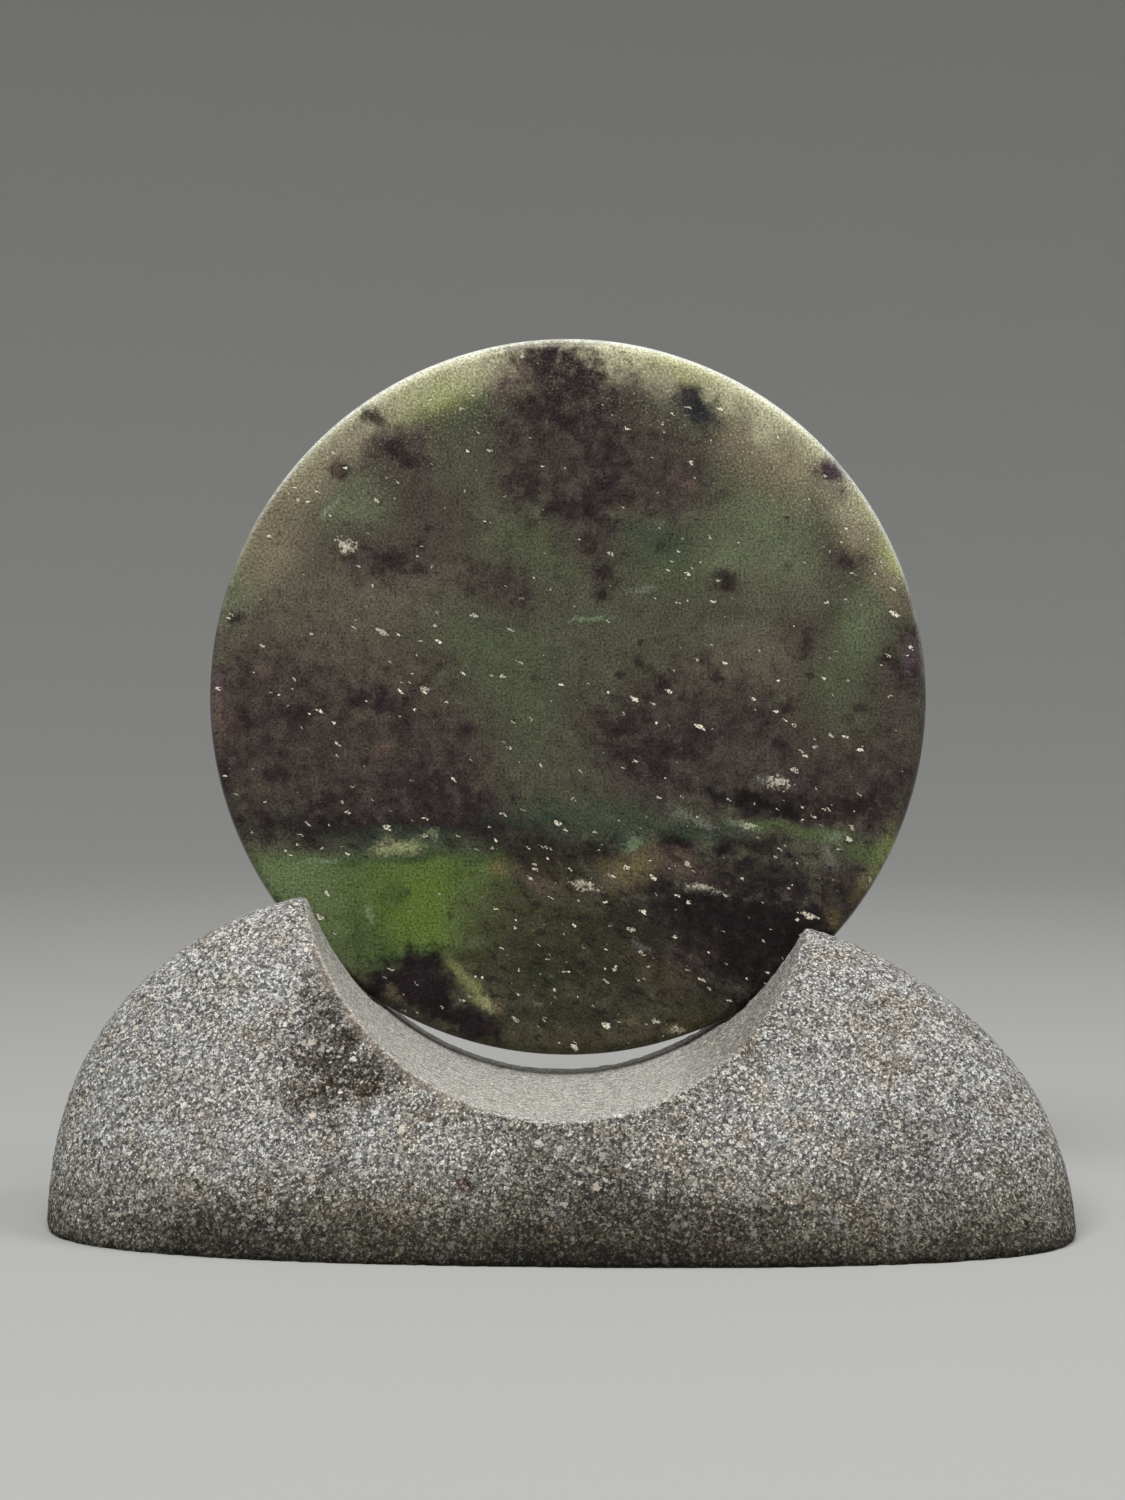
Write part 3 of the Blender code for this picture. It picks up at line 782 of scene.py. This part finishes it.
def grime_and_painted_shade(finish, colour, place, depth, broad, medium, speck):
    """Grime and painted shade that thicken towards the foot, painted shade under the scoop, painted light
    on the shoulders, brown stains, rust and a few scars.
    """
    x, _, z = finish.parts(place)
    # Partly grime and partly painted shade: darker towards the foot, most in the middle.
    sideways = finish.math("ABSOLUTE", finish.math("SUBTRACT", x, GRIME_AND_SHADE_MIDDLE))
    raised = finish.times_plus(sideways, 0.095, finish.times(z, 1.22))
    raised = finish.times_plus(broad, 14.0, raised)
    level = finish.ramp(raised, -1.0, GRIME_AND_SHADE_TOP, *GRIME_AND_SHADE_RANGE)
    # Painted shade: darker still just under the scoop's front, in the middle.
    shade_under_scoop = finish.ramp(sideways, 50.0, 20.0, 0.0, 0.48)
    shade_under_scoop = finish.times(finish.ramp(depth, PAINTED_SHADE_UNDER_SCOOP, 0.5), shade_under_scoop)
    level = finish.math("SUBTRACT", level, shade_under_scoop)
    # Painted light: the shoulders grow paler towards the top.
    level = finish.math("ADD", level, finish.ramp(z, *PAINTED_LIGHT_SHOULDERS, 0.0, 0.20))
    level = finish.times_plus(medium, 0.30, level)
    level = finish.math("MAXIMUM", level, GRIME_AND_SHADE_RANGE[0])
    browner = {0: level, 1: finish.math("POWER", level, 1.05), 2: finish.math("POWER", level, 1.22)}
    colour = finish.mix(1.0, colour, finish.add("CombineColor", browner).outputs[0], "MULTIPLY")
    warm = finish.cloud(place, WARM_SIZE, detail=3.0, rough=0.6, offset=(7.0, 1.0, 3.0))
    warm = finish.ramp(warm, 0.46, 0.64, 0.0, 0.44)
    colour = finish.mix(warm, colour, tone(*WARM_TONE, WARM_GAIN), "MULTIPLY")

    jitter = finish.times(medium, 2.4)
    clotted = finish.ramp(finish.times_plus(medium, 0.35, speck), 0.16, -0.14)
    for spots, strength, base in ((COARSE_STAIN, 0.66, 0.34), (STAIN_HEART, 0.50, 0.38)):
        brown = 0.0
        for spot in spots:
            brown = finish.math("MAXIMUM", brown, stain(finish, place, *spot, jitter))
        coarse = finish.times(brown, finish.times_plus(clotted, strength, base))
        colour = finish.mix(coarse, colour, tone(*STAIN_TONE))
    for spot, shade, strength in STONE_MARKS:
        mark = finish.times(stain(finish, place, *spot, jitter), strength)
        colour = finish.mix(mark, colour, tone(*shade))
    return colour, level


def rubbed_scoop(finish, place, depth, medium, speck, fine):
    """Where the scoop's wall is rubbed smooth, its pale streaks along the arc and its brown left edge."""
    x, y, z = finish.parts(place)
    ragged = finish.times_plus(medium, 0.9, finish.math("ABSOLUTE", depth))
    granular = finish.ramp(finish.times_plus(medium, 14.0, x), *GRANULAR_SIDE, 0.0, 0.72)
    smooth = finish.math("SUBTRACT", 0.92, granular)
    rubbed = finish.times(finish.ramp(ragged, 0.85, 0.45), smooth)
    across = finish.math("SUBTRACT", x, SCOOP_CENTRE[0])
    turn = finish.math("ARCTAN2", across, finish.math("SUBTRACT", z, SCOOP_CENTRE[1]))
    along = finish.join(finish.times(turn, SCOOP_RADIUS / 3.0), finish.times(y, 1.5))
    streak = finish.centred_cloud(along, 1.0, detail=4.0, rough=0.7)
    light = finish.ramp(finish.times_plus(speck, 0.8, streak), -0.24, 0.18)
    shade = finish.mix(light, tone(*SCOOP_DARK), tone(*SCOOP_PALE))
    shade = finish.mix(1.0, shade, grains(finish, fine, *SCOOP_RANGE), "MULTIPLY")
    edge = finish.times(finish.ramp(depth, 0.2, 0.7), finish.ramp(depth, 2.8, 1.0))
    edge = finish.times(edge, finish.ramp(x, -14.0, -24.0))
    edge = finish.times(edge, finish.ramp(y, 14.0, 4.0))
    edge = finish.times(edge, finish.ramp(medium, -0.16, 0.10, 0.25, 0.75))
    return finish.math("MAXIMUM", rubbed, edge), finish.mix(edge, shade, tone(*SCOOP_EDGE))


def plain(name, colour, roughness):
    """A plain backdrop finish."""
    finish = Finish(name)
    finish.set(Base_Color=colour, Roughness=roughness, Specular_IOR_Level=0.2)
    return finish.material


def link(name, mesh, material):
    """A smooth-shaded object with one material."""
    piece = bpy.data.objects.new(name, mesh)
    bpy.context.scene.collection.objects.link(piece)
    mesh.materials.clear()
    mesh.materials.append(material)
    mesh.shade_smooth()
    return piece


def rim_profile(radius, half):
    """Radius and height of the rim's rings, from the edge of a face to the middle of the rim."""
    flat = radius - RIM_SWELL - RIM_ROUND
    profile = []
    for i in range(RIM_STEPS + 1):
        turn = math.pi / 2 * i / RIM_STEPS
        profile.append((flat + RIM_ROUND * math.sin(turn), half - RIM_ROUND * (1 - math.cos(turn))))
    edge = half - RIM_ROUND
    profile += [(radius - RIM_SWELL * share ** 2, edge * share) for share in (0.5, 0.0)]
    return profile


def face_rings(shape, radius, height, facing):
    """An even triangle mesh of a flat round face, and its outermost ring of points."""
    middle = shape.verts.new((0.0, height * facing, 0.0))
    inner = [middle]
    for ring in range(1, FACE_RINGS + 1):
        outer = []
        for i in range(6 * ring):
            angle = 2 * math.pi * i / (6 * ring)
            reach = radius * ring / FACE_RINGS
            place = (reach * math.cos(angle), height * facing, reach * math.sin(angle))
            outer.append(shape.verts.new(place))
        for sector in range(6):
            for i in range(ring):
                first = outer[sector * ring + i]
                second = outer[(sector * ring + i + 1) % len(outer)]
                below = inner[(sector * (ring - 1) + i) % len(inner)]
                shape.faces.new((first, second, below))
                if i:
                    before = inner[(sector * (ring - 1) + i - 1) % len(inner)]
                    shape.faces.new((first, below, before))
        inner = outer
    return inner


def make_disc():
    """A flat disc with a softly rounded rim, its surface faintly uneven from hand polishing."""
    low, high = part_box("disc")
    centre = (low + high) / 2
    radius = (high.x - low.x) / 2
    half = (high.y - low.y) / 2
    shape = bmesh.new()
    profile = rim_profile(radius, half)
    front = face_rings(shape, profile[0][0], half, -1)
    back = face_rings(shape, profile[0][0], half, 1)
    rows = [front]
    for reach, height in profile[1:] + [(reach, -height) for reach, height in reversed(profile[1:-1])]:
        angles = [2 * math.pi * i / len(front) for i in range(len(front))]
        rows.append([shape.verts.new((reach * math.cos(a), -height, reach * math.sin(a))) for a in angles])
    rows.append(back)
    for first, second in zip(rows, rows[1:]):
        for i in range(len(front)):
            j = (i + 1) % len(front)
            shape.faces.new((first[i], first[j], second[j], second[i]))
    bmesh.ops.recalc_face_normals(shape, faces=shape.faces)
    for vertex in shape.verts:
        uneven = DISC_WAVE * (0.5 + 0.5 * noise.noise(vertex.co / DISC_WAVE_LENGTH))
        reach = math.hypot(vertex.co.x, vertex.co.z)
        shrink = 1 - max(0.0, uneven) / radius if reach > profile[0][0] else 1.0
        flatten = 1 - max(0.0, uneven) / half
        vertex.co = centre + Vector((vertex.co.x * shrink, vertex.co.y * flatten, vertex.co.z * shrink))
    mesh = bpy.data.meshes.new("greenstone_disc")
    shape.to_mesh(mesh)
    shape.free()
    keep_clouds(mesh, centre)
    piece = link("greenstone_disc", mesh, greenstone(centre, radius, half))
    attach(piece, "root")
    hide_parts("disc")


def remeshed(node, voxel):
    """A fine, even mesh of a node's solid."""
    shape = bmesh.new()
    shape.from_mesh(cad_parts[node].data)
    bmesh.ops.remove_doubles(shape, verts=shape.verts, dist=1e-6)
    source = bpy.data.meshes.new("source")
    shape.to_mesh(source)
    shape.free()
    holder = bpy.data.objects.new("holder", source)
    bpy.context.scene.collection.objects.link(holder)
    remesh = holder.modifiers.new("remesh", "REMESH")
    remesh.mode = "VOXEL"
    remesh.voxel_size = voxel
    bpy.context.view_layer.update()
    evaluated = holder.evaluated_get(bpy.context.evaluated_depsgraph_get())
    mesh = bpy.data.meshes.new_from_object(evaluated)
    bpy.data.objects.remove(holder)
    return mesh


def neighbours_mean(places, edges, count):
    """The mean place of each point's neighbours."""
    total = np.zeros_like(places)
    np.add.at(total, edges[:, 0], places[edges[:, 1]])
    np.add.at(total, edges[:, 1], places[edges[:, 0]])
    return total / count[:, None]


def worn(places, edges, foot):
    """The points with worn edges and rounded horns, and how sharp the form was at each."""
    count = np.bincount(edges.ravel(), minlength=len(places)).astype(float)
    tips = []
    for side in (-1, 1):
        heights = np.where(side * places[:, 0] > 0, places[:, 2], -1.0)
        tips.append(places[np.argmax(heights)].copy())
    first = neighbours_mean(places, edges, count)
    sharpness = np.linalg.norm(places - first, axis=1) / STONE_VOXEL
    for step in range(TIP_SMOOTHING):
        pull = np.full(len(places), 0.5 if step < EDGE_SMOOTHING else 0.0)
        for tip in tips:
            near = 1 - np.linalg.norm(places - tip, axis=1) / HORN_ROUNDING_REACH
            pull = np.maximum(pull, 0.5 * np.clip(near * 2, 0, 1))
        moved = neighbours_mean(places, edges, count) - places
        moved[foot, 2] = 0.0
        places = places + moved * pull[:, None]
    return places, sharpness


def hewn(places, normals, sharpness):
    """The points moved inward by what hewing leaves: waves, grit, pits and chips."""
    centre_x, centre_z = SCOOP_CENTRE[0] * MM, SCOOP_CENTRE[1] * MM
    from_axis = np.hypot(places[:, 0] - centre_x, places[:, 2] - centre_z)
    in_scoop = from_axis < (SCOOP_RADIUS + SCOOP_MARGIN) * MM
    depths = np.zeros(len(places))
    for i, place in enumerate(places):
        spot = Vector(place)
        waves = 0.5 + 0.5 * noise.noise(spot / (WAVE_SIZE * MM))
        grit = 0.5 + 0.5 * noise.noise(spot / (GRIT_SIZE * MM))
        pits = max(0.0, noise.noise(spot / (PIT_SIZE * MM) + Vector((9.0, 4.0, 2.0))) - PIT_LEVEL)
        chips = max(0.0, noise.noise(spot / (CHIP_SIZE * MM) + Vector((1.0, 7.0, 5.0))))
        depth = WAVE_DEPTH * waves + GRIT_DEPTH * grit + PIT_DEPTH * pits
        if in_scoop[i]:
            depth = SCOOP_WAVE_DEPTH * waves + SCOOP_GRIT_DEPTH * grit
        depths[i] = depth + CHIP_DEPTH * chips * min(1.0, 3.0 * sharpness[i])
    return places - normals * depths[:, None] * MM


def make_stand():
    """The stand's solid with worn edges, rounded horns and a hewn, pitted surface."""
    mesh = remeshed("stand", STONE_VOXEL)
    places = np.zeros(len(mesh.vertices) * 3)
    mesh.vertices.foreach_get("co", places)
    places = places.reshape(-1, 3)
    edges = np.zeros(len(mesh.edges) * 2, dtype=int)
    mesh.edges.foreach_get("vertices", edges)
    foot = places[:, 2] < 0.6 * STONE_VOXEL
    places, sharpness = worn(places, edges.reshape(-1, 2), foot)

    mesh.vertices.foreach_set("co", places.ravel())
    mesh.update()
    normals = np.zeros(places.size)
    mesh.vertex_normals.foreach_get("vector", normals)
    places = hewn(places, normals.reshape(-1, 3), sharpness)
    places[foot, 2] = 0.0
    mesh.vertices.foreach_set("co", places.ravel())
    mesh.update()
    piece = link("grey_stone_stand", mesh, grey_stone())
    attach(piece, "root")
    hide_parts("stand")


def make_floor():
    """A pale floor that curves up into a pale wall all round."""
    profile = [(radius, 0.0) for radius in FLOOR_RADII]
    outer = FLOOR_RADII[-1]
    for i in range(1, BEND_STEPS + 1):
        turn = math.pi / 2 * i / BEND_STEPS
        profile.append((outer + FLOOR_BEND * math.sin(turn), FLOOR_BEND * (1 - math.cos(turn))))
    profile.append((outer + FLOOR_BEND, FLOOR_BEND + WALL_HEIGHT))
    shape = bmesh.new()
    middle = shape.verts.new((0.0, 0.0, 0.0))
    angles = [2 * math.pi * i / FLOOR_SIDES for i in range(FLOOR_SIDES)]
    rows = []
    for radius, height in profile:
        rows.append([shape.verts.new((radius * math.cos(a), radius * math.sin(a), height)) for a in angles])
    for i in range(FLOOR_SIDES):
        shape.faces.new((middle, rows[0][i], rows[0][(i + 1) % FLOOR_SIDES]))
    for first, second in zip(rows, rows[1:]):
        for i in range(FLOOR_SIDES):
            j = (i + 1) % FLOOR_SIDES
            shape.faces.new((first[i], second[i], second[j], first[j]))
    mesh = bpy.data.meshes.new("floor")
    shape.to_mesh(mesh)
    shape.free()
    floor = link("floor", mesh, plain("pale floor", FLOOR_COLOUR, FLOOR_ROUGHNESS))


def area_light(name, place, target, size, power):
    """A rectangular lamp that faces its target."""
    lamp = bpy.data.lights.new(name, "AREA")
    lamp.shape = "RECTANGLE"
    lamp.size, lamp.size_y = size
    lamp.energy = power
    thing = bpy.data.objects.new(name, lamp)
    bpy.context.scene.collection.objects.link(thing)
    thing.location = place
    thing.rotation_euler = (Vector(target) - Vector(place)).to_track_quat("-Z", "Y").to_euler()


def make_lights():
    """One large soft light overhead and a small one above the disc for its rim."""
    world = bpy.data.worlds.new("studio")
    world.use_nodes = True
    background = world.node_tree.nodes["Background"]
    background.inputs["Color"].default_value = (1.0, 1.0, 1.0, 1.0)
    background.inputs["Strength"].default_value = WORLD_STRENGTH
    bpy.context.scene.world = world
    for lamp in LAMPS:
        area_light(*lamp)


def make_camera():
    """The photo's view: straight ahead, from a little above the disc's middle, dipping slightly."""
    lens = bpy.data.cameras.new("camera")
    lens.lens = CAMERA_LENS
    camera = bpy.data.objects.new("camera", lens)
    bpy.context.scene.collection.objects.link(camera)
    camera.location = CAMERA_PLACE
    camera.rotation_euler = (math.pi / 2 - CAMERA_DIP, 0.0, 0.0)
    bpy.context.scene.camera = camera


make_camera()
make_lights()
make_floor()
make_disc()
make_stand()
bpy.context.scene.view_settings.view_transform = "Standard"
